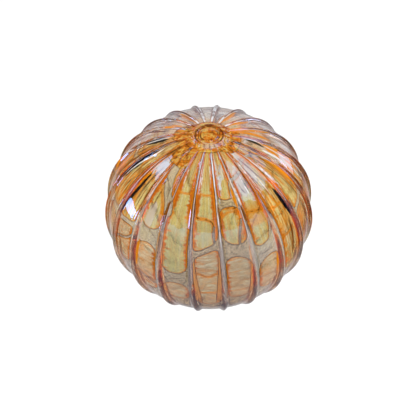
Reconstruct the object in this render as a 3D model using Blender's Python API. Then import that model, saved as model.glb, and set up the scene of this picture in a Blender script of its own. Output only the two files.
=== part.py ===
"""A hand-blown glass ball with raised ribs, about 120 mm across, standing on a small ground flat.

The ball was blown into a ribbed mould, so its ribs run from pole to pole, and the hole that the
blowpipe left at the top is closed with a round dab of glass, the seal. It is one fused piece, so it
is one object. Metres, +Z up, with the origin at the middle of the flat.
"""

import math

import bmesh
import bpy
from mathutils import Vector

# Driving dimensions
BALL_DIAMETER = 0.120  # over the crests of opposite ribs
RIB_COUNT = 20
RIB_HEIGHT = 0.0017
RIB_HALF_WIDTH = 0.0029  # from the crest to the panel, at the widest section
RIB_SLIMMEST = 0.2  # share of their height and width that the ribs would have at the poles
FLAT_RADIUS = 0.014  # of the ground flat, between the ribs
SEAL_RADIUS = 0.0078  # to the crest of the seal's rolled rim
SEAL_RISE = 0.0013  # of the rim above the ball

# How far the hand-made ribs stray from even ones, in radians. The first two are waves in their
# spacing, one round the ball and two, and the wander pulls the ends of the ribs to one side. Each
# starts at its own angle.
SPACING_WAVE = math.radians(2.1)
SPACING_RIPPLE = math.radians(1.2)
RIB_TWIST = math.radians(5.4)  # from the top of the ball to its bottom
RIB_WANDER = math.radians(1.6)
WAVE_START, RIPPLE_START, WANDER_START = math.radians(26), math.radians(260), math.radians(-30)

# Where the ribs rise and fade, as polar angles from the top of the ball
RIBS_START, RIBS_FULL = math.radians(3), math.radians(22)
RIBS_WANE, RIBS_END = math.radians(128), math.radians(178)
FIRST_BALL_RING = math.radians(11.5)

# Fineness of the mesh
COLUMNS_PER_RIB = 9
COLUMN_CROWDING = 1.45  # above 1 gathers the columns round the crests
BALL_RINGS = 21

# Worked out from the driving dimensions
PANEL_RADIUS = BALL_DIAMETER / 2 - RIB_HEIGHT
CENTRE_HEIGHT = math.sqrt(PANEL_RADIUS**2 - FLAT_RADIUS**2)
RIB_PITCH = math.tau / RIB_COUNT
COLUMNS = RIB_COUNT * COLUMNS_PER_RIB
LAST_BALL_RING = math.pi - math.asin(FLAT_RADIUS / PANEL_RADIUS)

# The seal's section, from its middle outwards: radius as a share of the rim's, and rise as a share
# of the rim's. A slightly domed disc, a shallow groove, then the rolled rim.
SEAL_SECTION = ((0.0, 0.92), (0.6, 0.78), (0.76, 0.42), (1.0, 1.0), (1.16, 0.45))

AMBER = (0.80, 0.36, 0.05, 1.0)


def smooth_step(low, high, value):
    """0 below low, 1 above high, and an even S between them."""
    share = min(max((value - low) / (high - low), 0.0), 1.0)
    return share * share * (3 - 2 * share)


def rib_strength(polar):
    """How much of their full height the ribs have at this angle from the top."""
    rising = smooth_step(RIBS_START, RIBS_FULL, polar)
    waning = 1 - smooth_step(RIBS_WANE, RIBS_END, polar)
    return rising * waning


def rib_rise(polar, from_crest):
    """Height of the surface over the panels, from_crest radians of rib angle away from a crest."""
    size = RIB_SLIMMEST + (1 - RIB_SLIMMEST) * math.sin(polar)
    half_width = RIB_HALF_WIDTH * size
    distance = min(abs(from_crest) * PANEL_RADIUS * math.sin(polar), half_width)
    ridge = (1 + math.cos(math.pi * distance / half_width)) / 2
    return RIB_HEIGHT * size * rib_strength(polar) * ridge


def strayed(rib_angle, polar):
    """The azimuth where a hand-made rib lies, for the even angle that it would have."""
    wave = SPACING_WAVE * math.sin(rib_angle + WAVE_START)
    ripple = SPACING_RIPPLE * math.sin(2 * rib_angle + RIPPLE_START)
    twist = RIB_TWIST * (polar / math.pi - 0.5)
    wander = RIB_WANDER * math.sin(rib_angle + WANDER_START) * math.cos(polar)
    return rib_angle + wave + ripple + twist + wander


def column_angle(column):
    """(even angle of this column, its distance from the nearest crest), in radians."""
    rib, step = divmod(column, COLUMNS_PER_RIB)
    step -= COLUMNS_PER_RIB // 2
    share = math.copysign(abs(2 * step / COLUMNS_PER_RIB) ** COLUMN_CROWDING, step)
    from_crest = share * RIB_PITCH / 2
    return (rib + 0.5) * RIB_PITCH - math.pi / 2 + from_crest, from_crest


def ball_point(polar, column):
    """A point of the ribbed ball. The last ring is where the ball meets the plane of the flat."""
    even, from_crest = column_angle(column)
    azimuth = strayed(even, polar)
    reach = PANEL_RADIUS + rib_rise(polar, from_crest)
    if polar < LAST_BALL_RING:
        out, height = reach * math.sin(polar), CENTRE_HEIGHT + reach * math.cos(polar)
    else:
        out, height = math.sqrt(reach**2 - CENTRE_HEIGHT**2), 0.0
    return Vector((out * math.cos(azimuth), out * math.sin(azimuth), height))


def seal_point(section, column):
    """A point of the seal, which is round and sits on the top of the ball."""
    radius, rise = section[0] * SEAL_RADIUS, section[1] * SEAL_RISE
    azimuth = strayed(column_angle(column)[0], 0.0)
    height = CENTRE_HEIGHT + math.sqrt(PANEL_RADIUS**2 - radius**2) + rise
    return Vector((radius * math.cos(azimuth), radius * math.sin(azimuth), height))


def surface_rings():
    """One function of the column for each ring of the mesh, from the top pole to the bottom one."""
    rings = [lambda column, s=section: seal_point(s, column) for section in SEAL_SECTION]
    for ring in range(BALL_RINGS):
        share = ring / (BALL_RINGS - 1)
        polar = FIRST_BALL_RING + share * (LAST_BALL_RING - FIRST_BALL_RING)
        rings.append(lambda column, p=polar: ball_point(p, column))
    rings.append(lambda column: Vector((0.0, 0.0, 0.0)))
    return rings


def amber_glass():
    """Amber glass, clear enough to see through."""
    material = bpy.data.materials.new("amber_glass")
    material.use_nodes = True
    shader = material.node_tree.nodes["Principled BSDF"]
    shader.inputs["Base Color"].default_value = AMBER
    shader.inputs["Roughness"].default_value = 0.04
    shader.inputs["Metallic"].default_value = 0.0
    shader.inputs["IOR"].default_value = 1.5
    shader.inputs["Transmission Weight"].default_value = 0.9
    return material


def glass_ball():
    """A UV sphere whose rings and columns are moved onto the ribbed ball, its seal and its flat."""
    rings = surface_rings()
    bm = bmesh.new()
    bmesh.ops.create_uvsphere(bm, u_segments=COLUMNS, v_segments=len(rings) - 1, radius=1.0)
    for vertex in bm.verts:
        ring = round(math.acos(max(-1.0, min(1.0, vertex.co.z))) / math.pi * (len(rings) - 1))
        column = round(math.atan2(vertex.co.y, vertex.co.x) / math.tau * COLUMNS) % COLUMNS
        vertex.co = rings[ring](column)
    bmesh.ops.recalc_face_normals(bm, faces=bm.faces)
    mesh = bpy.data.meshes.new("glass_ball")
    bm.to_mesh(mesh)
    bm.free()
    mesh.shade_smooth()
    mesh.set_sharp_from_angle(angle=math.radians(35))
    mesh.materials.append(amber_glass())
    return bpy.data.objects.new("glass_ball", mesh)


def main():
    for leftover in list(bpy.data.objects):
        bpy.data.objects.remove(leftover)
    ornament = bpy.data.collections.new("blown_glass_ornament")
    bpy.context.scene.collection.children.link(ornament)
    ornament.objects.link(glass_ball())


main()
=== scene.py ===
"""A blown ball of ribbed clear glass, lined with a crazed film of amber, on a pale studio floor.

The real ball is hollow: a thick clear wall with ribs outside, a smooth cavity inside, and between
them a thin film of amber that tore into patches as the ball was blown. Each is a piece here.
"""

import math
from types import SimpleNamespace

import bpy
import numpy as np
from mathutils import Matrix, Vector


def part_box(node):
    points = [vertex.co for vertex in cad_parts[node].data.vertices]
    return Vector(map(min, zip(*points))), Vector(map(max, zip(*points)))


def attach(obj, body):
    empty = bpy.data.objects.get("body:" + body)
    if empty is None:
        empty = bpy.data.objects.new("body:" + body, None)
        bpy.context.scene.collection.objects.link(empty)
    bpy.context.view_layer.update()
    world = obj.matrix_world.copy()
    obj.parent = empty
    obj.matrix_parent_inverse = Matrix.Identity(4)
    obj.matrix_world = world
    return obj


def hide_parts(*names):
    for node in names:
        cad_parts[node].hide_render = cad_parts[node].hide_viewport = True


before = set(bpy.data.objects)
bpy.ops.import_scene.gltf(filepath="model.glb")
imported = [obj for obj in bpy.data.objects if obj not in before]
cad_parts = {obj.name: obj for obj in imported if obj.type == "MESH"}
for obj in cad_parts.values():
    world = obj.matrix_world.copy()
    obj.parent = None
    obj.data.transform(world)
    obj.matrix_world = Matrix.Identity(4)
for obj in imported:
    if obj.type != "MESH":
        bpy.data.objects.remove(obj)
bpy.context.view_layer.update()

# The ball, as in its construction
BALL_DIAMETER = 0.120
RIB_COUNT = 20
RIB_HEIGHT = 0.0017
RIB_HALF_WIDTH = 0.0029
RIB_SLIMMEST = 0.2
FLAT_RADIUS = 0.014
SEAL_RADIUS = 0.0078
SEAL_RISE = 0.0013
SPACING_WAVE = math.radians(2.1)
SPACING_RIPPLE = math.radians(1.2)
RIB_TWIST = math.radians(5.4)
RIB_WANDER = math.radians(1.6)
WAVE_START, RIPPLE_START, WANDER_START = math.radians(26), math.radians(260), math.radians(-30)
RIBS_START, RIBS_FULL = math.radians(3), math.radians(22)
RIBS_WANE, RIBS_END = math.radians(128), math.radians(178)

PANEL_RADIUS = BALL_DIAMETER / 2 - RIB_HEIGHT
CENTRE_HEIGHT = math.sqrt(PANEL_RADIUS**2 - FLAT_RADIUS**2)
RIB_PITCH = math.tau / RIB_COUNT
PITCH_DEGREES = 360 // RIB_COUNT
BASE_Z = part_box("glass_ball")[0].z

# The seal's section, from its middle outwards, as shares of its rim's radius and rise: a slightly
# domed disc, a groove, and a rolled rim that runs out onto the ball
SEAL_SECTION = (
    (0.0, 0.92), (0.35, 0.88), (0.6, 0.72), (0.76, 0.38), (0.9, 0.82), (1.0, 1.0), (1.1, 0.8), (1.24, 0.22),
    (1.45, 0.0),
)

# The glass wall
WALL = 0.0036
FILM_DEPTH = 0.0006  # of the amber, measured in from the panels
CAVITY_RADIUS = PANEL_RADIUS - WALL
FILM_RADIUS = PANEL_RADIUS - FILM_DEPTH
FILM_RADIUS_MM = 1000 * FILM_RADIUS
MM_PER_DEGREE = math.radians(FILM_RADIUS_MM)
WITHIN = 0.9996  # keeps the fine mesh of the wall inside the box of the coarser solid
LUSTRE_NANOMETRES = 172  # thickness of the film that makes the outside's reflections lilac

# Fineness of the meshes: columns to a rib, and rings on each stretch
WALL_COLUMNS, WALL_SEAL_RINGS, WALL_BALL_RINGS, WALL_FLAT_RINGS = 27, 30, 100, 8
CAVITY_COLUMNS, CAVITY_RINGS = 9, 90
FILM_COLUMNS, FILM_RINGS, FILM_BASE_RINGS = 27, 155, 20

# The tear in the film that follows each rib, in millimetres
RIB_GAP = 0.9  # half its width
OUTER_GAP = 1.3  # how much further it reaches on the flank that is turned from the front
FACING_GAP, FACING_GAP_LOW = 0.25, 0.4  # how much less on the flank that faces it, and more so low down
LEAST_GAP = 0.2  # what is left at least, before it closes towards the top


# -------------------------------- the ball's form

def smooth_step(low, high, value):
    """0 at low, 1 at high, and an even S between them. High may be the smaller of the two."""
    share = np.clip((value - low) / (high - low), 0, 1)
    return share * share * (3 - 2 * share)


def rib_size(polar):
    """Share of the full rib width and height at this polar angle."""
    return RIB_SLIMMEST + (1 - RIB_SLIMMEST) * np.sin(polar)


def rib_rise(polar, from_crest):
    """Height of the ribs over the panels, from_crest radians of rib angle away from a crest."""
    strength = smooth_step(RIBS_START, RIBS_FULL, polar) * (1 - smooth_step(RIBS_WANE, RIBS_END, polar))
    half_width = RIB_HALF_WIDTH * rib_size(polar)
    distance = np.minimum(np.abs(from_crest) * PANEL_RADIUS * np.sin(polar), half_width)
    ridge = (1 + np.cos(np.pi * distance / half_width)) / 2
    return RIB_HEIGHT * rib_size(polar) * strength * ridge


def strayed(rib_angle, polar):
    """The azimuth where a hand-made rib lies, for the even angle that it would have."""
    wave = SPACING_WAVE * np.sin(rib_angle + WAVE_START)
    ripple = SPACING_RIPPLE * np.sin(2 * rib_angle + RIPPLE_START)
    twist = RIB_TWIST * (polar / np.pi - 0.5)
    wander = RIB_WANDER * np.sin(rib_angle + WANDER_START) * np.cos(polar)
    return rib_angle + wave + ripple + twist + wander


def seal_rise(polar):
    """Height of the seal over the ball."""
    out = PANEL_RADIUS * np.sin(polar) / SEAL_RADIUS
    radii, rises = zip(*SEAL_SECTION)
    return np.where(polar < np.pi / 2, SEAL_RISE * np.interp(out, radii, rises), 0)


def outer_reach(polar, from_crest):
    """Distance of the outer surface from the ball's centre."""
    ball = PANEL_RADIUS + rib_rise(polar, from_crest) + seal_rise(polar)
    below = -np.cos(polar)
    flat = CENTRE_HEIGHT / np.maximum(below, 0.01)
    return np.where(below > 0, np.minimum(ball, flat), ball)


def wall_reach(polar, from_crest):
    return WITHIN * outer_reach(polar, from_crest)


def cavity_reach(polar, from_crest):
    return np.full_like(polar, CAVITY_RADIUS)


def film_reach(polar, from_crest):
    """The film follows the panels and runs on under the ribs."""
    return outer_reach(polar, np.full_like(from_crest, RIB_PITCH / 2)) - FILM_DEPTH


def grid_columns(per_rib, crowding):
    """(even azimuths, distances from the nearest crest) of the columns round the ball."""
    column = np.arange(RIB_COUNT * per_rib)
    rib, step = column // per_rib, column % per_rib - per_rib // 2
    share = np.sign(step) * np.abs(2 * step / per_rib) ** crowding
    from_crest = share * RIB_PITCH / 2
    return (rib + 0.5) * RIB_PITCH - np.pi / 2 + from_crest, from_crest


def grid_faces(rings, count):
    """Quads between the rings, and fans round the poles, whose vertices are the first and the last."""
    faces = []
    for ring in range(rings - 1):
        upper = 1 + ring * count
        lower = upper + count
        for i in range(count):
            j = (i + 1) % count
            faces.append((upper + i, lower + i, lower + j, upper + j))
    start = 1 + (rings - 1) * count
    last = start + count
    for i in range(count):
        j = (i + 1) % count
        faces.append((0, 1 + i, 1 + j))
        faces.append((last, start + j, start + i))
    return faces


def turned_mesh(name, polars, per_rib, crowding, reach, inward=False):
    """A closed mesh whose rings lie at these polar angles from the top, with a vertex at each pole.

    Also gives the polar angle of each point, and each column's even azimuth and distance from a crest.
    """
    even, from_crest = grid_columns(per_rib, crowding)
    polar = polars[:, None] * np.ones(len(even))
    distance = reach(polar, from_crest[None, :] * np.ones_like(polar))
    azimuth = strayed(even[None, :], polar)
    x = distance * np.sin(polar) * np.cos(azimuth)
    y = distance * np.sin(polar) * np.sin(azimuth)
    z = BASE_Z + CENTRE_HEIGHT + distance * np.cos(polar)
    top = BASE_Z + CENTRE_HEIGHT + float(reach(np.zeros(1), np.zeros(1))[0])
    bottom = BASE_Z + CENTRE_HEIGHT - float(reach(np.full(1, np.pi), np.zeros(1))[0])
    points = np.concatenate([[[0, 0, top]], np.stack([x, y, z], -1).reshape(-1, 3), [[0, 0, bottom]]])
    faces = grid_faces(len(polars), len(even))
    if inward:
        faces = [face[::-1] for face in faces]
    mesh = bpy.data.meshes.new(name)
    mesh.from_pydata(points.tolist(), [], faces)
    mesh.shade_smooth()
    piece = bpy.data.objects.new(name, mesh)
    bpy.context.scene.collection.objects.link(piece)
    return piece, polar, even, from_crest


# -------------------------------- nodes

class Nodes:
    """A node tree, with a short call for each kind of node that is used here.

    A value can be a number, a colour, a vector or another node's output.
    """

    def __init__(self, tree):
        self.tree = tree

    def join(self, value, socket):
        """Sets a socket, or links another one to it."""
        if isinstance(value, bpy.types.NodeSocket):
            self.tree.links.new(value, socket)
        elif socket.type == "RGBA":
            socket.default_value = (*value, 1)
        else:
            socket.default_value = value

    def add(self, kind, inputs=(), **settings):
        """A new node with these settings, and with these inputs, which go by name or by number."""
        node = self.tree.nodes.new(kind)
        for name, value in settings.items():
            setattr(node, name, value)
        for name, value in dict(inputs).items():
            self.join(value, node.inputs[name])
        return node

    def attribute(self, name, socket="Fac"):
        return self.add("ShaderNodeAttribute", attribute_name=name).outputs[socket]

    def parts(self, vector):
        """The X, Y and Z outputs of a vector."""
        return self.add("ShaderNodeSeparateXYZ", {0: vector}).outputs

    def vector(self, operation, *values):
        return self.add("ShaderNodeVectorMath", enumerate(values), operation=operation).outputs

    def math(self, operation, *values):
        return self.add("ShaderNodeMath", enumerate(values), operation=operation).outputs[0]

    def plus(self, first, second):
        return self.math("ADD", first, second)

    def minus(self, first, second):
        return self.math("SUBTRACT", first, second)

    def times(self, first, second):
        return self.math("MULTIPLY", first, second)

    def largest(self, first, second):
        return self.math("MAXIMUM", first, second)

    def scaled_plus(self, value, scale, added):
        return self.math("MULTIPLY_ADD", value, scale, added)

    def rest(self, share):
        """What a share leaves of 1."""
        return self.minus(1.0, share)

    def distance(self, value, middle):
        return self.math("ABSOLUTE", self.minus(value, middle))

    def ramp(self, value, low, high, start=0.0, end=1.0):
        """A smooth step from start, at low, to end, at high."""
        inputs = {"Value": value, "From Min": low, "From Max": high, "To Min": start, "To Max": end}
        return self.add("ShaderNodeMapRange", inputs, interpolation_type="SMOOTHSTEP").outputs[0]

    def line(self, value, middle, core, edge, strength=1.0):
        """The strength where the value is within core of the middle, and nothing past edge from it."""
        return self.ramp(self.distance(value, middle), core, edge, strength, 0.0)

    def noise(self, vector, stretch, detail=3.0, roughness=0.55, distortion=0.0):
        stretched = self.add("ShaderNodeMapping", {"Scale": stretch, "Vector": vector}).outputs[0]
        inputs = {"Vector": stretched, "Scale": 1.0, "Detail": detail, "Roughness": roughness}
        return self.add("ShaderNodeTexNoise", {**inputs, "Distortion": distortion}).outputs["Fac"]

    def mix(self, share, first, second):
        return self.add("ShaderNodeMix", {"Factor": share, 6: first, 7: second}, data_type="RGBA").outputs[2]

    def coated(self, colour, *coats):
        """The colour once it has these coats, each a share and a colour, one over the other."""
        for share, coat in coats:
            colour = self.mix(share, colour, coat)
        return colour


def new_material(name):
    """(material, its nodes, the socket for its surface)"""
    material = bpy.data.materials.new(name)
    material.use_nodes = True
    material.node_tree.nodes.clear()
    nodes = Nodes(material.node_tree)
    return material, nodes, nodes.add("ShaderNodeOutputMaterial").inputs["Surface"]


# -------------------------------- plain materials

def plain_material(name, inputs):
    material, nodes, surface = new_material(name)
    nodes.join(nodes.add("ShaderNodeBsdfPrincipled", inputs).outputs[0], surface)
    return material


def clear_glass():
    """The lustred outside: a film a few hundred nanometres thick makes its reflections lilac."""
    material, nodes, surface = new_material("clear_glass")
    place = nodes.add("ShaderNodeTexCoord").outputs["Object"]
    waves = nodes.noise(place, (110, 110, 60), 2.0)
    bump = nodes.add("ShaderNodeBump", {"Distance": 0.0005, "Strength": 0.6, "Height": waves})
    shader = nodes.add("ShaderNodeBsdfPrincipled", {
        "Base Color": (0.90, 0.895, 0.90), "Roughness": 0.0, "IOR": 1.5, "Transmission Weight": 1.0,
        "Thin Film Thickness": LUSTRE_NANOMETRES, "Thin Film IOR": 1.9, "Normal": bump.outputs[0],
    })
    nodes.join(shader.outputs[0], surface)
    return material


def cavity_glass():
    inputs = {"Base Color": (1, 1, 1), "Roughness": 0.1, "IOR": 1.5, "Transmission Weight": 1.0}
    return plain_material("cavity_glass", inputs)


def floor_material():
    inputs = {"Base Color": (0.95, 0.95, 0.95), "Roughness": 0.9, "Specular IOR Level": 0.0}
    return plain_material("pale_floor", inputs)


# -------------------------------- the amber film's looks

# Its colours, as what light keeps of each primary on its way through
OCHRE = (0.80, 0.755, 0.38)
GOLD = (0.90, 0.845, 0.39)
PALE = (0.92, 0.88, 0.68)
GILT = (0.98, 0.50, 0.09)
TAN = (0.78, 0.53, 0.33)
FAWN = (0.83, 0.65, 0.50)
ORANGE = (1.0, 0.37, 0.018)
BORDER = (0.84, 0.23, 0.01)
DEEP = (0.88, 0.27, 0.015)
STRAW = (1.0, 0.82, 0.26)
SUNLIT = (1.0, 0.87, 0.50)
FIRE = (1.0, 0.40, 0.015)
BROWN = (0.17, 0.05, 0.005)
UMBER = (0.36, 0.13, 0.012)
RUST = (0.94, 0.46, 0.13)
# Painted shade and dark reflections: the black of the dark streaks along the ribs
SOOT = (0.02, 0.014, 0.012)
# Painted highlight: the lilac white of the lines and streaks that stand in for the lamps' glints on the ribs
MILK = (0.86, 0.88, 0.97)
PEARL = (0.91, 0.89, 0.88)
# Cream: paler film, partly a painted highlight where the lamps' reflections fall on the panels
CREAM = (0.95, 0.88, 0.90)
SAND = (0.97, 0.84, 0.70)
TORN = (0.50, 0.39, 0.28)
BARE = (0.80, 0.68, 0.52)
SHADE = (0.66, 0.59, 0.58)
SHADE_SIDE = (0.87, 0.84, 0.82)
SHADE_EDGE = (0.30, 0.20, 0.17)
# Painted shade: the greyer, darker base, for the ball's shadow on the floor seen through it
BASE_TINT = (0.62, 0.60, 0.54)
BACK_TINT = (0.82, 0.77, 0.52)

# Shares of the light that the film scatters: anywhere, in the haze on the left, in the pale
# streaks, which are partly painted highlight, in the fiery ones at the sides and behind, and in
# the lines of painted highlight
FILM_SCATTER, HAZY_SCATTER, PALE_SCATTER, FIRE_SCATTER, MILK_SCATTER = 0.04, 0.16, 0.4, 0.5, 0.85

# Lines along every rib, by their distance in millimetres from its crest. Below 0 is the flank that
# faces the front. The first is a painted highlight, and the dark, outer and foot lines are painted
# shade. The highlight line is that much wider at the back.
MILKY_LINE, DARK_LINE, OUTER_LINE, FOOT_LINE = 0.06, -0.14, 0.26, 0.27
WIDER_AT_BACK = 0.24

# The greyer, darker base, painted shade that stands in for the ball's shadow on the floor seen
# through it: how far up in millimetres along a panel it is full, and where it ends
BASE_EDGES = (-64.0, -42.0)

# Arcs at both sides of the seal: radius in millimetres, half the width and strength
SEAL_ARCS = ((4.8, 0.35, 0.95), (6.0, 0.35, 0.8), (7.6, 0.4, 0.95))

# What the film's mesh stores at each point: numbers and, for the noises, places. "place" is
# (millimetres across the panel, millimetres along it, number of the panel), "flow" is the same
# stretched along the panel and of one width from pole to pole, and "spot" is the point itself.
FIELDS = (
    "inside", "beside", "crest", "cap", "low", "bare", "wedge", "streaked", "aside", "hidden", "lined",
    "flank", "soot", "umber", "fire", "milk", "pale", "seam", "lobed", "calm", "drawn", "golden", "back",
    "footed", "rear", "hazy",
)
PLACES = ("place", "flow", "spot")

# Noises over those places: the place, the scale of each coordinate, detail, roughness and distortion
NOISES = {
    "ragged": ("place", (0.6, 0.6, 7.3), 4.0, 0.6),
    "torn_edge": ("place", (0.12, 0.6, 7.3), 3.0, 0.72),
    "fringes": ("place", (0.13, 0.65, 5.1), 2.0, 0.6, 0.4),
    "blotch": ("place", (0.28, 0.2, 7.3), 2.0),
    "ripples": ("place", (0.1, 0.55, 7.3), 3.0, 0.6, 0.5),
    "wavelets": ("place", (0.22, 1.7, 7.3), 2.0, 0.6, 0.6),
    "grain": ("place", (0.9, 0.9, 7.3), 2.0, 0.7),
    "radial": ("place", (0.9, 0.14, 7.3), 2.0, 0.6, 0.4),
    "broken": ("place", (0.05, 0.16, 3.1), 2.0, 0.6),
    "streaks": ("flow", (0.6, 0.3, 7.3), 3.0, 0.65, 0.4),
    "loops": ("flow", (0.17, 0.22, 7.3), 1.0, 0.5),
    "threads": ("flow", (1.1, 0.3, 7.3), 2.0),
    "fine": ("flow", (0.95, 0.14, 7.3), 2.0, 0.55, 0.3),
    "flecks": ("spot", (0.3, 0.55, 0.55), 3.0, 0.65, 0.8),
    "marble": ("spot", (0.25, 0.25, 0.25), 3.0, 0.6, 0.9),
    "specks": ("spot", (0.9, 0.9, 0.9), 2.0, 0.5, 0.4),
}


def film_shares(nodes, at, noise):
    """How much of the film, its edges, its streaks and its cap there is at a point."""
    share = SimpleNamespace()
    share.edge = nodes.scaled_plus(noise.ragged, 0.9, nodes.minus(at.inside, 0.45))
    share.film = nodes.ramp(share.edge, 0.0, 0.2)
    rim = nodes.ramp(share.edge, 0.1, 0.55, 1.0, 0.0)
    share.rim = nodes.times(rim, nodes.ramp(at.calm, 0.0, 1.0, 1.0, 0.35))
    share.halo = nodes.ramp(share.edge, 0.2, 1.5, 0.75, 0.0)
    # The pale patches: paler film, partly a painted highlight under the lamps' reflections
    share.pale = nodes.ramp(nodes.scaled_plus(noise.ragged, 2.0, at.pale), 0.0, 1.6, 0.0, 0.85)
    share.wedge = nodes.ramp(at.wedge, -0.25, 0.25)
    share.rusty = nodes.times(share.wedge, nodes.ramp(at.flank, 0.1, 0.45, 0.0, 0.7))

    cap_edge = nodes.scaled_plus(noise.ragged, 1.6, nodes.minus(at.cap, 0.8))
    share.cap = nodes.ramp(cap_edge, 0.0, 0.3)
    share.cap_rim = nodes.ramp(cap_edge, 0.2, 0.8, 0.7, 0.0)

    border = nodes.scaled_plus(noise.torn_edge, 9.0, -2.1)
    for field, widening in ((at.streaked, -0.6), (share.pale, -0.9), (at.bare, -1.8), (at.aside, -1.5)):
        border = nodes.scaled_plus(field, widening, border)
    border = nodes.plus(at.drawn, border)
    share.border = nodes.ramp(nodes.minus(at.beside, border), -1.1, 0.6, 1.0, 0.0)

    frayed = nodes.scaled_plus(noise.ragged, 1.0, -0.5)
    share.fiery = nodes.ramp(nodes.plus(at.fire, frayed), -0.2, 0.3)
    share.umber = nodes.ramp(nodes.plus(at.umber, frayed), -0.3, 0.3)
    # The black streaks are painted shade and dark reflections.
    share.sooty = nodes.ramp(nodes.plus(at.soot, frayed), -0.3, 0.2)

    share.lined = nodes.times(at.lined, nodes.rest(share.cap))
    # Painted highlight: a lilac white line along each rib's crest, high up, broken here and there
    from_line = nodes.scaled_plus(at.back, -WIDER_AT_BACK, nodes.distance(at.crest, MILKY_LINE))
    crest_line = nodes.times(share.lined, nodes.ramp(from_line, 0.06, 0.14, 1.0, 0.0))
    crest_line = nodes.times(crest_line, nodes.ramp(noise.broken, 0.38, 0.54, 0.3, 1.0))
    share.milky = nodes.largest(nodes.ramp(nodes.plus(at.milk, frayed), -0.2, 0.3), crest_line)
    return share


def low_coats(nodes, at, noise):
    """The lowest patches are tan, with ripples and wavelets across them."""
    return (
        (nodes.times(at.low, 0.8), nodes.mix(at.flank, TAN, FAWN)),
        (nodes.times(at.low, nodes.ramp(noise.ripples, 0.5, 0.62, 0.0, 0.8)), PALE),
        (nodes.times(at.low, nodes.ramp(noise.ripples, 0.36, 0.46, 0.5, 0.0)), ORANGE),
        (nodes.times(at.low, nodes.ramp(noise.wavelets, 0.54, 0.6, 0.0, 0.65)), PALE),
        (nodes.times(at.low, nodes.ramp(noise.wavelets, 0.38, 0.44, 0.5, 0.0)), RUST),
    )


def streaky_coats(nodes, at, noise):
    """At the sides the film is drawn out into loops and fine streaks of many colours."""
    bands = nodes.math("SINE", nodes.scaled_plus(noise.loops, 62.0, nodes.times(at.inside, 0.6)))
    looped = nodes.times(nodes.ramp(bands, 0.45, 0.8), nodes.ramp(at.streaked, 0.0, 1.0, 0.06, 0.85))
    drawn_out = nodes.ramp(at.streaked, 0.0, 1.0, 0.06, 0.75)
    return (
        (looped, ORANGE),
        (nodes.times(at.streaked, nodes.line(bands, 0.75, 0.0, 0.2, 0.55)), UMBER),
        (nodes.times(at.streaked, nodes.ramp(noise.fine, 0.505, 0.53, 0.0, 0.95)), SUNLIT),
        (nodes.times(at.streaked, nodes.ramp(noise.fine, 0.39, 0.41, 0.75, 0.0)), UMBER),
        (nodes.times(at.streaked, nodes.line(noise.fine, 0.46, 0.008, 0.032, 0.75)), UMBER),
        (nodes.times(nodes.ramp(noise.streaks, 0.55, 0.58), drawn_out), ORANGE),
    )


def edge_coats(nodes, at, noise, share):
    """Towards the ribs, the tears and the seams the film is orange, and at its very edge brown. Low
    down, on each rib's flank that faces the front, it has painted shade: a rust wedge edged with umber.
    """
    fringe = nodes.ramp(nodes.scaled_plus(at.beside, -0.05, noise.fringes), 0.38, 0.44, 0.0, 0.85)
    fringe = nodes.times(fringe, nodes.rest(nodes.largest(at.low, share.pale)))
    glow = nodes.ramp(nodes.scaled_plus(noise.ragged, 1.2, at.seam), -0.6, 0.4, 0.0, 0.85)
    core = nodes.ramp(nodes.scaled_plus(noise.ragged, 0.3, at.seam), 0.05, 0.3, 0.0, 0.85)
    return (
        (nodes.times(fringe, nodes.ramp(at.bare, 0.0, 1.0, 1.0, 0.0)), ORANGE),
        (share.border, BORDER),
        (share.halo, ORANGE),
        (glow, ORANGE),
        # Painted shade on the flanks that face the front: a rust wedge edged with an umber line
        (share.wedge, RUST),
        (nodes.line(at.wedge, 0.0, 0.0, 0.45, 0.95), UMBER),
        (share.rim, BROWN),
        (core, BROWN),
    )


def patch_colour(nodes, at, noise, share):
    """The colour of the film's patches."""
    return nodes.coated(
        nodes.mix(nodes.ramp(noise.blotch, 0.35, 0.7), OCHRE, GOLD),
        (nodes.ramp(noise.threads, 0.5, 0.6, 0.0, 0.7), PALE),
        (nodes.ramp(noise.threads, 0.36, 0.46, 0.3, 0.0), ORANGE),
        (nodes.times(at.golden, 0.8), GILT),
        *low_coats(nodes, at, noise),
        *streaky_coats(nodes, at, noise),
        (share.pale, CREAM),
        (at.bare, PEARL),
        *edge_coats(nodes, at, noise, share),
    )


def torn_colour(nodes, at, noise, share):
    """The colour of the glass in the tears, shaded under the ribs and outlined along the patches, with
    painted shade in rust on the flanks that face the front.
    """
    shaded = nodes.ramp(at.bare, 0.0, 1.0, 1.0, 0.25)
    outlined = nodes.times(shaded, nodes.ramp(at.flank, 0.0, 1.0, 1.0, 0.5))
    under_rib = nodes.ramp(at.beside, -0.15, 0.05, 1.0, 0.0)
    rib_edge = nodes.times(nodes.line(at.beside, -0.15, 0.05, 0.3, 0.85), nodes.rest(share.rusty))
    patch_edge = nodes.line(share.edge, -0.12, 0.04, 0.24, 0.7)
    patch_edge = nodes.times(patch_edge, nodes.ramp(at.calm, 0.0, 1.0, 1.0, 0.2))
    return nodes.coated(
        nodes.mix(nodes.ramp(noise.grain, 0.36, 0.6), TORN, BARE),
        (at.bare, PEARL),
        (nodes.times(at.flank, 0.6), SHADE_SIDE),
        (nodes.times(shaded, under_rib), nodes.mix(at.flank, SHADE, SHADE_SIDE)),
        (nodes.times(outlined, rib_edge), SHADE_EDGE),
        # Painted shade: rust on the flanks that face the front
        (nodes.times(share.rusty, nodes.ramp(at.beside, -0.3, -0.1, 0.0, 0.9)), RUST),
        (nodes.times(outlined, patch_edge), SHADE_EDGE),
    )


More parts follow.
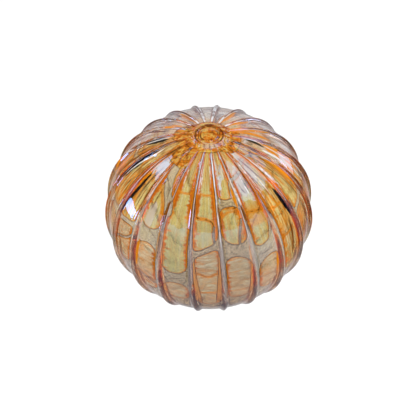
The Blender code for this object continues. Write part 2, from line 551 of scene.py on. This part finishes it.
def cap_colour(nodes, at, noise, share):
    """The marbled cap, with dark arcs at both sides of the seal and a pale patch before it."""
    from_axis = nodes.vector("MULTIPLY", at.spot, (1, 1, 0))["Vector"]
    radius = nodes.vector("LENGTH", from_axis)["Value"]
    aspect = nodes.parts(nodes.vector("NORMALIZE", from_axis)["Vector"])
    wobbly = nodes.scaled_plus(noise.marble, 1.2, nodes.minus(radius, 0.6))
    beside_seal = nodes.ramp(nodes.math("ABSOLUTE", aspect["X"]), 0.45, 0.9, 0.0, 1.0)
    arcs = [
        (nodes.times(beside_seal, nodes.line(wobbly, arc_radius, 0.1, half_width, strength)), BROWN)
        for arc_radius, half_width, strength in SEAL_ARCS
    ]
    frontness = nodes.scaled_plus(aspect["Y"], -1.0, nodes.times(noise.ragged, 0.3))
    before_seal = nodes.ramp(frontness, 1.0, 1.12)
    veins = nodes.times(nodes.ramp(noise.radial, 0.4, 0.44, 1.0, 0.0), nodes.ramp(at.lobed, 0.2, 0.6))
    return nodes.coated(
        nodes.mix(nodes.ramp(noise.marble, 0.46, 0.56), DEEP, ORANGE),
        (nodes.ramp(noise.flecks, 0.505, 0.54, 0.0, 0.9), STRAW),
        (nodes.ramp(noise.flecks, 0.38, 0.42, 0.85, 0.0), UMBER),
        (veins, UMBER),
        (nodes.ramp(noise.specks, 0.60, 0.70, 0.0, 0.8), BROWN),
        (share.cap_rim, BROWN),
        *arcs,
        (nodes.times(before_seal, nodes.line(wobbly, 8.2, 1.0, 2.2, 0.85)), SAND),
    )


def rib_line_coats(nodes, at, noise, share):
    """Painted shade: the dark lines along the ribs' crests, high up, and along their feet, low down."""
    dark = nodes.times(share.lined, nodes.line(at.crest, DARK_LINE, 0.04, 0.12))
    foot = nodes.line(nodes.math("ABSOLUTE", at.crest), FOOT_LINE, 0.03, 0.1, 0.7)
    foot = nodes.times(nodes.times(at.footed, foot), nodes.rest(share.rusty))
    return (
        (nodes.times(dark, nodes.ramp(noise.broken, 0.4, 0.6, 1.0, 0.4)), BROWN),
        (nodes.times(share.lined, nodes.line(at.crest, OUTER_LINE, 0.03, 0.1, 0.8)), UMBER),
        (foot, nodes.mix(nodes.ramp(at.crest, -0.1, 0.1), UMBER, SHADE_EDGE)),
    )


def film_colour(nodes, at, noise, share):
    """The colour at any point: the glass in the tears, the patches and the cap, then the streaks, the
    rib lines of painted shade and highlight, and the painted shade at the base.
    """
    patches = patch_colour(nodes, at, noise, share)
    film = nodes.mix(share.cap, patches, cap_colour(nodes, at, noise, share))
    cover = nodes.largest(share.film, share.cap)
    # Painted shade at the base, standing in for the ball's shadow on the floor seen through it
    base = nodes.ramp(nodes.parts(at.place)["Y"], *BASE_EDGES, 1.0, 0.0)
    return nodes.coated(
        nodes.mix(cover, torn_colour(nodes, at, noise, share), film),
        (share.fiery, FIRE),
        (share.umber, UMBER),
        (share.sooty, SOOT),
        (nodes.times(at.hidden, 0.85), BACK_TINT),
        *rib_line_coats(nodes, at, noise, share),
        (share.milky, MILK),
        (base, BASE_TINT),
    )


def scattered_share(nodes, at, share):
    """How much of the light the film scatters at a point."""
    uncovered = nodes.rest(nodes.largest(share.border, share.cap))
    # The painted highlight lines scatter most, then the pale patches, which are partly painted highlight
    scatter = nodes.ramp(share.milky, 0.0, 1.0, FILM_SCATTER, MILK_SCATTER)
    scatter = nodes.largest(scatter, nodes.times(share.pale, nodes.times(uncovered, PALE_SCATTER)))
    scatter = nodes.largest(scatter, nodes.times(at.hazy, HAZY_SCATTER))
    return nodes.largest(scatter, nodes.times(share.fiery, nodes.times(at.rear, FIRE_SCATTER)))


def amber_film():
    """A film that lets light through unbent, tinted, and scatters a little of it to both sides."""
    material, nodes, surface = new_material("amber_film")
    numbers = {name: nodes.attribute(name) for name in FIELDS}
    places = {name: nodes.attribute(name, "Vector") for name in PLACES}
    at = SimpleNamespace(**numbers, **places)
    noise = SimpleNamespace()
    for name, (place, *settings) in NOISES.items():
        setattr(noise, name, nodes.noise(places[place], *settings))
    share = film_shares(nodes, at, noise)
    colour = film_colour(nodes, at, noise, share)

    clear, through, back = (
        nodes.add(kind, {"Color": colour}).outputs[0]
        for kind in ("ShaderNodeBsdfTransparent", "ShaderNodeBsdfTranslucent", "ShaderNodeBsdfDiffuse")
    )
    # The painted highlights and the fiery streaks scatter more back towards the light than through
    backwards = nodes.ramp(nodes.largest(share.milky, share.fiery), 0.0, 1.0, 0.5, 0.95)
    scattered = nodes.add("ShaderNodeMixShader", {"Fac": backwards, 1: through, 2: back}).outputs[0]
    inputs = {"Fac": scattered_share(nodes, at, share), 1: clear, 2: scattered}
    nodes.join(nodes.add("ShaderNodeMixShader", inputs).outputs[0], surface)
    return material


# -------------------------------- the film's pattern

# For each panel, named by its even longitude from the front, the latitudes in degrees of the tears
# across it, with half the width of each in millimetres and its rise in degrees from the panel's
# middle to its right edge. The last tear is where the film ends.
TEARS = {
    -72: ((19, 2.0, 0), (-6, 3, 0)),
    -54: ((21, 1.2, 2), (-9, 3, 0)),
    -36: ((22.5, 4.2, 1), (-6.5, 0.3, -1), (-20, 3, 0)),
    -18: ((1.3, 3.6, 1), (-21, 3, 0)),
    0: ((22.5, 1.5, 4), (-25, 3, 0)),
    18: ((48, 1.9, 0), (21, 3.6, -2), (-19, 3, 0)),
    36: ((15.5, 4.4, 3), (-18, 3, 0)),
    54: ((-14, 3, 0),),
    72: ((25, 1.2, 3), (2, 0.3, 0), (-8, 3, 0)),
}
TOP_OF_FILM = (95, 0.0, 0.0)  # where the highest patch of each panel starts, beyond the pole

# Long tears that cross several panels, each as half its width in millimetres and the points of a
# smooth line: (longitude from the front, latitude)
CRACKS = (
    (0.8, ((23, 46), (24, 54), (26, 59), (33, 60.5), (42, 62.5), (52, 66), (61, 67), (68, 65.5), (74, 62),
           (84, 50))),
    (0.5, ((-66, 1), (-60, 6.5), (-52, 11), (-47, 16))),
    (0.45, ((-54, -12), (-47, -6), (-43, -3), (-38, -7), (-32, -9.5), (-28, -7.5), (-24, -3))),
    (2.2, ((-40, 64), (-37, 56), (-33, 50), (-29, 45), (-27, 40))),
    (1.3, ((-125, 48), (-108, 45), (-98, 46.5), (-90, 45), (-83, 47))),
    (1.6, ((-112, 14), (-98, 22), (-90, 24), (-84, 21), (-78, 20))),
    (0.9, ((72, 24), (76, 27), (80, 30), (81, 24), (84, 16))),
    (0.5, ((45, 12), (41, 17), (40, 21), (42, 27), (44, 32))),
    (0.4, ((22, 18), (20.5, 24), (22, 31), (25, 38))),
    (0.4, ((5.5, 26), (5, 32), (5.8, 36))),
)

# Seams, where the film is folded, in the same form. One of no width is little more than a glow.
SEAMS = (
    (-0.05, ((-27, 54), (-22, 52.5), (-14, 53), (-9, 54), (0, 53.2), (9, 53))),
    (0.3, ((-9, 42), (-5, 40.6), (0, 40.2), (4, 39), (5.4, 37), (5.8, 33))),
    (0.1, ((-9, 41), (-12, 40), (-13.5, 39.8))),
    (0.1, ((-27, 41), (-24.5, 40.5), (-23, 40.8))),
    (0.25, ((-9, 7), (-5, 7.5), (-2, 6.3), (1, 5.5), (4, 7), (9, 9))),
    (0.1, ((-9, -8.5), (-4, -8), (4, -7.6), (9, -8))),
    (0.25, ((10, 46.3), (16, 45.6), (26, 44))),
    (0.0, ((12, 41), (16, 43), (21, 43), (25, 40))),
    (0.25, ((27, 41.5), (34, 40), (40, 39), (46, 37))),
    (0.2, ((45, 38), (50, 35.5), (56, 34.8), (60, 36))),
    (0.15, ((46, 17), (52, 16.3), (58, 17.5))),
    (0.2, ((29, 6), (32, 10), (37, 12.3), (42, 12))),
    (0.1, ((-45, 50), (-41, 50), (-36, 46), (-32, 40), (-31.6, 33))),
    (0.2, ((-61, 22), (-54, 20), (-47, 22))),
    (0.0, ((-75, 60), (-74, 50), (-70, 46), (-68, 38), (-68, 28), (-72, 23), (-76, 30), (-75.5, 40))),
    (0.0, ((54, 46), (53.5, 40), (55, 36))),
    (0.0, ((70, 40), (69, 48), (68, 56), (70, 60))),
)

# Streaks, in the same form, which thin out to their ends. They run along the ribs: the black ones
# are painted shade and dark reflections, the umber ones brown, the fiery ones a clear bright
# orange, the lilac ones painted highlights of a pale lilac, and the pale ones broad patches of
# cream, paler film that is partly painted highlight.
STREAKS = {
    # Black streaks: painted shade and dark reflections along the ribs
    "soot": (
        (1.0, ((-91.5, 67), (-92.5, 61), (-95, 52))), (0.6, ((-96, 64), (-97.5, 58), (-98, 51))),
        (1.4, ((-77, 62), (-79, 52), (-80.5, 42), (-82, 27))), (0.6, ((-75, 50), (-77, 42), (-78, 34))),
        (1.0, ((-57.3, 53), (-58, 42), (-60, 32), (-63, 19))), (1.3, ((59, 44), (60, 35), (61, 23))),
        (0.8, ((91.5, 58), (94, 65), (96, 70))), (0.6, ((97, 50), (96.5, 44), (97.5, 38))),
    ),
    "umber": (
        (0.6, ((-27.1, 47), (-27.8, 40), (-28.4, 32))), (0.55, ((-8.3, 52), (-8.3, 44), (-8.6, 34))),
        (0.6, ((9.8, 48), (10, 42), (10.4, 34))), (0.6, ((26.9, 47), (27.6, 41), (28.4, 36))),
        (0.9, ((57.8, 25), (56.5, 12), (54, -3))), (0.5, ((80.5, 54), (82, 44), (82.5, 30), (83, 22))),
        (0.7, ((-84.5, 62), (-86, 46), (-87, 30))), (0.7, ((-66, 62), (-66, 46), (-66, 28))),
        (0.6, ((-47.5, 61), (-48, 46), (-49, 30))), (0.6, ((43, 68), (42.6, 56), (43, 44))),
        (0.3, ((37, 66), (38.5, 58), (39.5, 50))), (0.3, ((33, 58), (33.5, 54), (36, 50.5), (38.5, 54))),
        (0.35, ((52, 70), (54.5, 60), (57, 48))), (0.3, ((48, 66), (49.5, 56), (52, 46))),
        (0.35, ((68, 66), (70, 56), (72, 44))), (0.35, ((73, 70), (75, 60), (76, 50))),
        (0.4, ((-52, 60), (-53, 50), (-54.5, 40))), (0.35, ((-57, 48), (-58.5, 38), (-60, 28))),
        (0.35, ((-71, 60), (-72, 50), (-73.5, 38))), (0.4, ((-69, 44), (-70.5, 36), (-71, 28))),
        (0.35, ((-38, 52), (-39, 44), (-39.5, 36))), (0.35, ((-90, 62), (-90, 52), (-91, 40))),
        (0.7, ((-110, 66), (-112, 58), (-115, 48))), (0.6, ((-155.3, 77), (-154.8, 68), (-154.4, 57))),
        (0.5, ((-149.8, 76), (-149.4, 68), (-149, 60))), (0.5, ((155.3, 76), (154.8, 68), (154.4, 60))),
        (0.35, ((-27.2, 34), (-27.4, 22), (-27.3, 6))),
    ),
    "fire": (
        (1.2, ((-59, 56), (-60.2, 46), (-61, 34))), (1.4, ((61.5, 24), (61.5, 12), (61, -4))),
        (1.3, ((76, 58), (78, 46), (79, 32))), (1.6, ((94, 60), (95.5, 50), (97, 34))),
        (1.1, ((24.5, 56), (24.4, 50), (25.4, 44))), (1.2, ((113, 68), (115, 60), (117, 48))),
        (1.5, ((-104, 36), (-100, 26), (-96, 20))), (1.0, ((60, 73), (61, 64), (61.4, 50))),
        (1.2, ((-41, 18), (-42, 8), (-42, -2))), (1.0, ((42, 11), (42, 2), (41, -8))),
        (0.9, ((85.5, 47), (86.3, 38), (86.5, 26))), (1.3, ((89, 46), (90, 52), (91.5, 58))),
        (1.1, ((109, 74), (108, 64), (104, 52))), (0.9, ((91, 44), (92, 37), (92, 30))),
        (0.5, ((-28.2, 36), (-28.5, 22), (-28.3, 8))), (1.0, ((-91, 44), (-92, 34), (-92, 22))),
        (2.1, ((-152.6, 78), (-151.6, 68), (-151, 56))), (2.0, ((152.6, 78), (151.6, 68), (151, 56))),
        (1.2, ((134, 76), (131, 68), (130, 60))), (1.3, ((-124, 72), (-121, 66), (-118, 60))),
        (1.5, ((118, 78), (116, 72), (113, 62))),
    ),
    # Painted highlights: lilac white lines where the lamps glint on the ribs
    "milk": (
        (0.3, ((-6.2, 70), (-6.0, 60), (-5.9, 51))), (0.25, ((-4.0, 72), (-4.2, 63), (-4.4, 54))),
        (0.25, ((-23.5, 68), (-22.5, 60), (-21.5, 54))), (0.25, ((4.5, 72), (5.2, 64), (5.6, 56))),
        (0.6, ((-76, 66), (-74.5, 57), (-77, 48), (-79.4, 31))),
        (0.5, ((-94.5, 69), (-95.5, 58), (-97, 49))),
        (0.35, ((-63.3, 63), (-63.3, 46), (-63.8, 30))), (0.3, ((-45.6, 60), (-45.5, 48), (-46.4, 32))),
        (0.4, ((63.3, 70), (64, 54), (65.5, 36))), (0.36, ((46, 70), (47, 54), (48, 38))),
        (0.34, ((26.6, 70), (27, 56), (28.3, 40))), (0.4, ((89, 42), (89.5, 32), (89, 18))),
        (0.9, ((86.6, 60), (87.4, 52), (87.8, 44))), (0.3, ((38.5, 62), (38, 54), (38.5, 46))),
        (0.3, ((53, 58), (54, 48), (55, 40))), (0.4, ((94, 60), (93, 52), (93, 40))),
        (0.5, ((97.5, 72), (97, 66), (96, 60))), (0.5, ((-99, 44), (-101, 38), (-104, 30))),
    ),
    # Pale patches: paler film, partly a painted lilac highlight under the lamps' reflections
    "pale": (
        (2.9, ((34, 71), (34.5, 60), (35.2, 48))), (2.6, ((50.5, 74), (51, 62), (51, 52))),
        (1.2, ((12.5, 74), (13.5, 62), (13.5, 53))), (2.8, ((89, 62), (89, 48), (88, 36))),
        (3.2, ((-53, 62), (-52.5, 56))), (2.6, ((-38, 42), (-38.5, 32), (-38, 24))),
        (1.6, ((-110, 44), (-104, 38), (-100, 32))),
    ),
}

# The latitude of the cap's edge, and the lobes where it reaches further down: the longitudes where
# each starts, is full, wanes and ends, and its reach in degrees
CAP_LATITUDE = 77.5
CAP_LOBES = ((-150, -105, -92, -55, 8), (-80, -62, -32, -16, 13.5), (30, 60, 105, 135, 5.5))


def smooth_line(points, steps=7):
    """Points along a Catmull-Rom curve through the given ones."""
    p = np.array(points, float)
    p = np.vstack([2 * p[0] - p[1], p, 2 * p[-1] - p[-2]])
    t = np.linspace(0, 1, steps, endpoint=False)[:, None]
    runs = [
        (2 * b + (c - a) * t + (2 * a - 5 * b + 4 * c - d) * t**2 + (3 * b - a - 3 * c + d) * t**3) / 2
        for a, b, c, d in zip(p, p[1:], p[2:], p[3:])
    ]
    return np.vstack(runs + [p[-2][None, :]])


def line_depth(longitude, latitude, points, half_width, taper):
    """How far in millimetres every place on the film lies inside a line of this half width.

    A taper of 1 brings the line's width down to nothing at its ends.
    """
    line = smooth_line(points)
    depth = np.full(latitude.shape, -1e3)
    squeeze = np.cos(np.radians(latitude))
    for index, ((lon0, lat0), (lon1, lat1)) in enumerate(zip(line, line[1:])):
        px = ((longitude - lon0 + 180) % 360 - 180) * squeeze
        py = latitude - lat0
        dx, dy = (lon1 - lon0) * squeeze, lat1 - lat0
        share = np.clip((px * dx + py * dy) / (dx * dx + dy * dy), 0, 1)
        along = (index + share) / (len(line) - 1)
        width = half_width * (1 - taper + taper * np.sin(np.pi * along) ** 0.6)
        depth = np.maximum(depth, width - np.hypot(px - share * dx, py - share * dy) * MM_PER_DEGREE)
    return depth


def deepest(longitude, latitude, lines, taper=0.0):
    """How far in millimetres every place lies inside the nearest of these lines."""
    depth = np.full(latitude.shape, -1e3)
    for half_width, points in lines:
        depth = np.maximum(depth, line_depth(longitude, latitude, points, half_width, taper))
    return depth


def panel_tears(longitude, draw):
    """The tears of a panel: those named above, or drawn ones on the sides that are turned away.

    A drawn one whose width is under 0 is only a seam.
    """
    if longitude in TEARS:
        return list(TEARS[longitude])
    tears = []
    latitude = 62 - 14 * draw.random()
    while latitude > -5:
        tears.append((latitude, 2.6 * draw.random() ** 2 - 0.3, 6 * draw.random() - 3))
        latitude -= 13 + 20 * draw.random()
    return tears + [(-12 - 12 * draw.random(), 3, 0)]


def gap_half_width(polar, latitude, off_front, faces_front):
    """Half the width of the tear along a rib."""
    width = RIB_GAP * rib_size(polar) * (1 - 0.62 * smooth_step(18, 44, latitude))
    width *= 1 - 0.72 * smooth_step(46, 66, off_front)
    turned = OUTER_GAP * smooth_step(14, 40, off_front) * (1 - 0.55 * smooth_step(14, 36, latitude))
    facing = FACING_GAP * smooth_step(7, 26, off_front)
    width += np.where(faces_front, -facing, turned * rib_size(polar))
    width -= FACING_GAP_LOW * faces_front * smooth_step(7, 26, off_front) * smooth_step(20, 6, latitude)
    return np.maximum(width, LEAST_GAP) * (1 - 0.85 * smooth_step(26, 42, latitude))


def patch_depth(latitude, across, half_panel, half_patch, tears):
    """How far in millimetres each point of a panel lies inside the nearest of its patches.

    The patches have round corners, wider ones at wider tears.
    """
    slant = across / half_panel
    aside = half_patch - np.abs(across)
    depth = np.full(latitude.shape, -9.0)
    edges = [TOP_OF_FILM] + tears
    for (upper, upper_gap, upper_rise), (lower, lower_gap, lower_rise) in zip(edges, edges[1:]):
        from_top = (upper + upper_rise * slant - latitude) * MM_PER_DEGREE - upper_gap
        from_foot = (latitude - lower - lower_rise * slant) * MM_PER_DEGREE - lower_gap
        along = np.minimum(from_top, from_foot)
        gap = np.where(from_foot < from_top, lower_gap, upper_gap)
        corner = np.minimum(half_patch * 0.95, 0.8 + 2.4 * np.maximum(gap, 0))
        rounded = corner - np.hypot(corner - aside, corner - along)
        in_corner = (aside < corner) & (along < corner)
        depth = np.maximum(depth, np.where(in_corner, rounded, np.minimum(aside, along)))
    return depth


def cap_depth(latitude, longitude):
    """How far in millimetres each point lies inside the cap."""
    lobe = 0
    for start, full, wane, end, reach in CAP_LOBES:
        rising, waning = smooth_step(start, full, longitude), smooth_step(wane, end, longitude)
        lobe = np.maximum(lobe, reach * rising * (1 - waning))
    return np.radians(latitude - CAP_LATITUDE + lobe) * FILM_RADIUS_MM


def film_regions(latitude, longitude):
    """Where on the ball each trait of the film is found, by latitude and longitude from the front.

    Drawn widens the orange borders, aside narrows them, and calm makes the edges faint. Lobed has the
    cap's veins, lined and footed the lines of painted highlight and painted shade along the ribs, and
    back the wider painted highlight lines.
    """
    off_front = np.abs(longitude)
    on_36 = (longitude > 27) * (longitude < 45)
    on_54 = (longitude > 45) * (longitude < 63)
    golden = on_36 * smooth_step(31.2, 31.8, latitude) * smooth_step(47, 41, latitude)
    golden = golden + on_54 * smooth_step(14, 24, latitude) * smooth_step(50, 40, latitude)
    calm = smooth_step(24, 32, longitude) * smooth_step(80, 70, longitude)
    footed = smooth_step(26, 12, latitude) * smooth_step(-40, -24, latitude)
    bare = smooth_step(99, 103, off_front) * smooth_step(30, 38, latitude)
    bare = np.maximum(bare, smooth_step(84, 86, longitude) * smooth_step(26, 34, latitude))
    return {
        "drawn": 2.4 * smooth_step(30, 50, latitude) * smooth_step(66, 44, off_front),
        "golden": golden,
        "lobed": smooth_step(80, 74, latitude),
        "flank": smooth_step(12, 42, off_front),
        "bare": bare,
        "lined": smooth_step(16, 34, latitude) * smooth_step(88, 80, latitude),
        "calm": calm * smooth_step(40, 50, latitude),
        "rear": smooth_step(66, 80, off_front),
        "hazy": smooth_step(-60, -74, longitude) * smooth_step(-122, -104, longitude),
        "back": smooth_step(105, 125, off_front),
        "footed": footed * smooth_step(70, 50, off_front),
        "aside": smooth_step(72, 86, off_front) * smooth_step(-20, 0, latitude),
        "hidden": smooth_step(96, 108, off_front) * smooth_step(8, -6, latitude),
    }


def streaked_region(latitude, longitude):
    """Where the film is drawn out into streaks: at the sides and, less so, near the top."""
    streaked = smooth_step(36, 54, np.abs(longitude)) * smooth_step(16, 30, latitude)
    streaked = np.maximum(streaked, 0.55 * smooth_step(54, 62, latitude))
    return np.maximum(streaked, 0.6 * smooth_step(44, 50, longitude) * smooth_step(-16, -6, latitude))


def store(piece, name, values, top=0, bottom=0):
    """Stores a number at each point, with those of the two poles given apart."""
    layer = piece.data.attributes.new(name, "FLOAT", "POINT")
    numbers = np.concatenate([[top], values.reshape(-1), [bottom]])
    layer.data.foreach_set("value", numbers.astype(np.float32))


def store_vector(piece, name, x, y, z):
    """Stores a vector at each point. The one at a pole is the mean of the ring beside it."""
    rings = np.stack([x, y, z], -1)
    values = np.vstack([rings[0].mean(0)[None], rings.reshape(-1, 3), rings[-1].mean(0)[None]])
    layer = piece.data.attributes.new(name, "FLOAT_VECTOR", "POINT")
    layer.data.foreach_set("vector", values.astype(np.float32).reshape(-1))


def film_attributes(piece, polar, even, from_crest):
    """Stores where each point of the film lies in its pattern. Lengths are in millimetres."""
    draw = np.random.default_rng(7)
    latitude = 90 - np.degrees(polar)
    even_longitude = np.degrees(even + np.pi / 2)[None, :] * np.ones_like(polar)
    longitude = (even_longitude + 180) % 360 - 180
    off_front = np.abs(longitude)
    panel = np.round(even_longitude[0] / PITCH_DEGREES).astype(int) % RIB_COUNT
    half_panel = RIB_PITCH / 2 * FILM_RADIUS_MM * np.sin(polar)
    across = half_panel * (1 - np.abs(from_crest) / (RIB_PITCH / 2)) * np.where(from_crest < 0, 1, -1)
    faces_front = np.where(longitude > PITCH_DEGREES / 2, across > 0, True)
    faces_front = np.where(longitude < -PITCH_DEGREES / 2, across < 0, faces_front)
    gap_width = gap_half_width(polar, latitude, off_front, faces_front)

    inside, low = np.empty_like(polar), np.empty_like(polar)
    for index in range(RIB_COUNT):
        columns = panel == index
        from_front = index * PITCH_DEGREES
        tears = panel_tears(from_front if from_front <= 180 else from_front - 360, draw)
        first_low = next(tear[0] for tear in tears if tear[0] < 30)
        low[:, columns] = smooth_step(first_low + 1, first_low - 1, latitude[:, columns])
        half_patch = (half_panel - gap_width)[:, columns]
        inside[:, columns] = patch_depth(
            latitude[:, columns], across[:, columns], half_panel[:, columns], half_patch, tears)
    inside = np.minimum(inside, -deepest(longitude, latitude, CRACKS))

    beside = (half_panel - gap_width - np.abs(across)) * half_panel.max() / half_panel
    # Painted shade: a wedge on each rib's flank that faces the front, wider low down and gone at the back
    wedge_reach = (1.4 + 3.0 * smooth_step(24, -20, latitude)) * smooth_step(30, 16, latitude)
    wedge_reach *= smooth_step(100, 60, off_front)
    for name, values in film_regions(latitude, longitude).items():
        store(piece, name, values)
    store(piece, "streaked", streaked_region(latitude, longitude), top=1)
    store(piece, "low", low, bottom=1)
    store(piece, "crest", (half_panel - np.abs(across)) * np.where(faces_front, -1, 1))
    store(piece, "inside", inside, 9, -9)
    store(piece, "cap", cap_depth(latitude, longitude), 12, -60)
    store(piece, "beside", beside, 9, 9)
    store(piece, "wedge", np.where(faces_front, wedge_reach - beside - 0.3, -9), -9, -9)
    store(piece, "seam", deepest(longitude, latitude, SEAMS), -9, -9)
    for name, lines in STREAKS.items():
        store(piece, name, deepest(longitude, latitude, lines, taper=1.0), -9, -9)

    along = np.radians(latitude) * FILM_RADIUS_MM
    number = panel[None, :] * np.ones_like(polar)
    azimuth = strayed(even[None, :], polar)
    out = FILM_RADIUS_MM * np.sin(polar)
    store_vector(piece, "place", across, along, number)
    store_vector(piece, "flow", 6 * across / half_panel, along / 10, number)
    height = FILM_RADIUS_MM * np.cos(polar)
    store_vector(piece, "spot", out * np.cos(azimuth), out * np.sin(azimuth), height)


# -------------------------------- the pieces

def add_wall():
    seal_end, flat_start = math.radians(13), math.pi - math.asin(FLAT_RADIUS / PANEL_RADIUS)
    polars = np.concatenate([
        np.linspace(0.004, seal_end, WALL_SEAL_RINGS, endpoint=False),
        np.linspace(seal_end, flat_start, WALL_BALL_RINGS, endpoint=False),
        np.linspace(flat_start, math.pi - 0.01, WALL_FLAT_RINGS),
    ])
    shell, *_ = turned_mesh("glass_wall", polars, WALL_COLUMNS, 1.5, wall_reach)
    shell.data.materials.append(clear_glass())
    shell.visible_shadow = shell.visible_diffuse = False
    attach(shell, "root")
    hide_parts("glass_ball")


def add_cavity():
    polars = np.linspace(0.02, math.pi - 0.02, CAVITY_RINGS)
    cavity, *_ = turned_mesh("cavity_wall", polars, CAVITY_COLUMNS, 1.0, cavity_reach, inward=True)
    cavity.data.materials.append(cavity_glass())
    cavity.visible_shadow = cavity.visible_diffuse = False
    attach(cavity, "root")


def add_film():
    """The amber film. Its rings are finer down to a little below the middle."""
    coarse_start = 2.1
    polars = np.concatenate([
        np.linspace(0.01, coarse_start, FILM_RINGS, endpoint=False),
        np.linspace(coarse_start, math.pi - 0.02, FILM_BASE_RINGS),
    ])
    film, polar, even, from_crest = turned_mesh("amber_film", polars, FILM_COLUMNS, 1.0, film_reach)
    film_attributes(film, polar, even, from_crest)
    film.data.materials.append(amber_film())
    film.visible_shadow = film.visible_diffuse = False
    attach(film, "root")


# -------------------------------- the studio

# How bright the world is to the front, to the back, at the sides, overhead, low behind and below
FRONT_LIGHT, BACK_LIGHT, SIDE_LIGHT, CEILING_LIGHT = 0.42, 0.42, 0.03, 0.03
GROUND_LIGHT, NADIR_LIGHT = 0.55, 0.3
LOW_BEHIND = (0, 0.688, -0.725)
MIDDLE = (0, 0, CENTRE_HEIGHT)
FLOOR_REACH = 3.0
UNDER_BALL = 0.0002  # gap between the ball and the floor
CAMERA_ELEVATION, CAMERA_DISTANCE = math.radians(46.5), 0.95
LENS_MM, SENSOR_MM = 142.5, 36
AIM = Vector((-0.0006, 0, BASE_Z + CENTRE_HEIGHT))


def stage():
    floor = bpy.data.meshes.new("floor")
    s = FLOOR_REACH
    floor.from_pydata([(-s, -s, 0), (s, -s, 0), (s, s, 0), (-s, s, 0)], [], [(0, 1, 2, 3)])
    obj = bpy.data.objects.new("floor", floor)
    bpy.context.scene.collection.objects.link(obj)
    obj.location.z = BASE_Z - UNDER_BALL
    floor.materials.append(floor_material())
    obj.visible_glossy = False


def area_light(name, location, target, size, radiance, colour=(1, 1, 1)):
    data = bpy.data.lights.new(name, "AREA")
    data.shape = "RECTANGLE"
    data.size, data.size_y = size
    data.energy = radiance * math.pi * size[0] * size[1]
    data.color = colour
    light = bpy.data.objects.new(name, data)
    light.location = location
    light.rotation_euler = (Vector(target) - Vector(location)).to_track_quat("-Z", "Y").to_euler()
    bpy.context.scene.collection.objects.link(light)
    return light


def lights():
    """Lights that show as highlights on the glass, and a fill and two washes that don't."""
    area_light("right_softbox", (1.07, 0.08, 1.06), (1.07, 0.08, 0), (1.25, 1.45), 1.2, (0.92, 0.94, 1.0))
    area_light("narrow_softbox", (0.205, -0.245, 1.06), (0.205, -0.245, 0), (0.09, 0.65), 1.5)
    area_light("left_softbox", (-1.06, 0.3, 1.0), MIDDLE, (0.7, 0.4), 3.0, (1.0, 0.9, 0.82))
    area_light("left_low", (-0.34, 0.0, 0.052), (-0.04, -0.03, 0.085), (0.085, 0.06), 7.5)
    for side, name in ((-1, "left_tube"), (1, "right_tube")):
        area_light(name, (1.05 * side, 0.76, 0.36), (0, 0, 0.09), (0.05, 0.7), 6.0)
    area_light("right_low", (0.29, 0.245, 0.068), (0.045, 0, 0.1), (0.085, 0.1), 1.7)
    fill = area_light("fill", (0, 0, 2.0), (0, 0, 0), (3.0, 3.0), 1.46, (0.99, 0.99, 1.0))
    fill.visible_glossy = False
    for side in (-1, 1):
        wash = area_light("wash", (2.0 * side, -0.6, 1.1), MIDDLE, (1.0, 1.0), 4.0)
        wash.visible_glossy = wash.visible_transmission = False


def studio_world():
    """Pale walls to the front and back, dark ones to the sides over pale ground, and a dim ceiling."""
    world = bpy.data.worlds.new("studio")
    world.use_nodes = True
    nodes = Nodes(world.node_tree)
    direction = nodes.add("ShaderNodeTexCoord").outputs["Generated"]
    towards = nodes.parts(direction)
    low_behind = nodes.vector("DOT_PRODUCT", direction, LOW_BEHIND)["Value"]
    side = nodes.largest(
        nodes.ramp(low_behind, 0.76, 0.95, SIDE_LIGHT, GROUND_LIGHT),
        nodes.ramp(towards["Z"], -0.84, -0.66, NADIR_LIGHT, 0.0),
    )
    front = nodes.ramp(towards["Z"], 0.0, 0.33, 0.6 * FRONT_LIGHT, 1.8 * FRONT_LIGHT)
    front = nodes.ramp(towards["Y"], -0.50, -0.36, front, side)
    inward = nodes.plus(towards["Y"], nodes.ramp(towards["Z"], -0.3, -0.1, 0.14, 0.0))
    walls = nodes.ramp(inward, 0.80, 0.92, front, BACK_LIGHT)
    height = nodes.plus(towards["Z"], nodes.ramp(towards["Y"], 0.62, 0.82, 0.0, -0.24))
    ceiling = nodes.ramp(height, 0.315, 0.335)
    background = world.node_tree.nodes["Background"]
    nodes.join((1, 1, 1), background.inputs["Color"])
    light = nodes.scaled_plus(ceiling, nodes.minus(CEILING_LIGHT, walls), walls)
    nodes.join(light, background.inputs["Strength"])
    bpy.context.scene.world = world


def camera():
    data = bpy.data.cameras.new("camera")
    data.lens = LENS_MM
    data.sensor_width = SENSOR_MM
    cam = bpy.data.objects.new("camera", data)
    towards_camera = Vector((0, -math.cos(CAMERA_ELEVATION), math.sin(CAMERA_ELEVATION)))
    cam.location = AIM + CAMERA_DISTANCE * towards_camera
    cam.rotation_euler = (AIM - cam.location).to_track_quat("-Z", "Y").to_euler()
    bpy.context.scene.collection.objects.link(cam)
    bpy.context.scene.camera = cam


def light_paths():
    """Enough bounces to see through the layers of glass and film."""
    scene = bpy.context.scene
    scene.view_settings.view_transform = "Standard"
    scene.cycles.max_bounces = 32
    scene.cycles.transmission_bounces = 24
    scene.cycles.transparent_max_bounces = 24
    scene.cycles.glossy_bounces = 12


camera()
add_wall()
add_cavity()
add_film()
stage()
lights()
studio_world()
light_paths()
